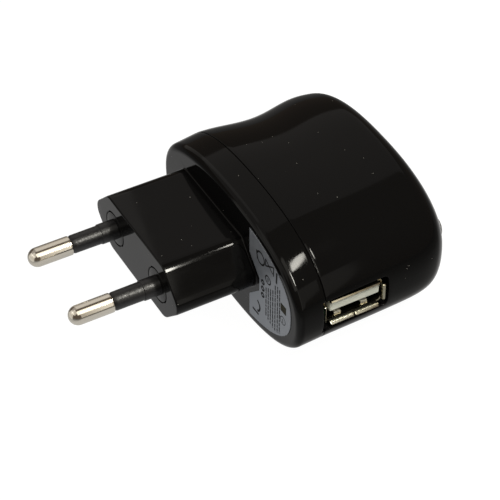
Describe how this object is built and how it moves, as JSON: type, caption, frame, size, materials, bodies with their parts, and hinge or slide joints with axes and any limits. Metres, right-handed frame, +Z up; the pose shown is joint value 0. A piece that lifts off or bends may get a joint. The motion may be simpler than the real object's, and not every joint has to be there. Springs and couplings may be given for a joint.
{
  "type": "usb wall charger",
  "caption": "Black two-pin mains plug charger with a rounded case, a USB type A port in its side and a small indicator lens.",
  "frame": {"origin": "centre of the plug's front face, midway between the two pins", "axes": "+X from the plug's face into the case (the pins point along -X), +Y away from the USB port, +Z up, square to the large face"},
  "size_m": [0.0759, 0.0566, 0.0308],
  "materials": {
    "case_black": "polished moulding",
    "sleeve_black": "satin moulding",
    "insert_black": "satin moulding",
    "pin_nickel": "bright nickel plate",
    "label_silver": "satin foil print",
    "usb_steel": "tinned sheet",
    "tongue_white": "moulded",
    "contact_gold": "gilt",
    "strip_brass": "stamped",
    "board_green": "solder mask",
    "ferrite": "sintered",
    "bobbin_black": "moulded",
    "copper_wire": "enamelled",
    "tape_yellow": "polyester film",
    "tinned_wire": "tinned",
    "can_dark": "shrink sleeve",
    "resistor_blue": "lacquered",
    "moulded_black": "moulded epoxy",
    "disc_blue": "dipped",
    "choke_drum": "sintered",
    "chip_grey": "sintered",
    "led_clear": "tinted epoxy",
    "lens_smoke": "polished"
  },
  "bodies": {
    "root": {"chip_parts": "chip_grey", "circuit_board": "board_green", "front_cover": "case_black", "fuse_resistor": "resistor_blue", "input_capacitor": "can_dark", "input_choke": "choke_drum", "led_lens": "lens_smoke", "optocoupler": "moulded_black", "output_capacitor": "can_dark", "output_diode": "moulded_black", "pin_contact_far": "strip_brass", "pin_contact_near": "strip_brass", "pin_far": "pin_nickel", "pin_near": "pin_nickel", "pin_sleeve_far": "sleeve_black", "pin_sleeve_near": "sleeve_black", "plug_insert_far": "insert_black", "plug_insert_near": "insert_black", "rating_label": "label_silver", "rear_cover": "case_black", "rectifier_diodes": "moulded_black", "safety_capacitor": "disc_blue", "status_led": "led_clear", "switching_transistor": "moulded_black", "transformer_bobbin": "bobbin_black", "transformer_core": "ferrite", "transformer_pins": "tinned_wire", "transformer_tape": "tape_yellow", "transformer_winding": "copper_wire", "usb_contacts": "contact_gold", "usb_shell": "usb_steel", "usb_tongue": "tongue_white"}
  },
  "joints": []
}
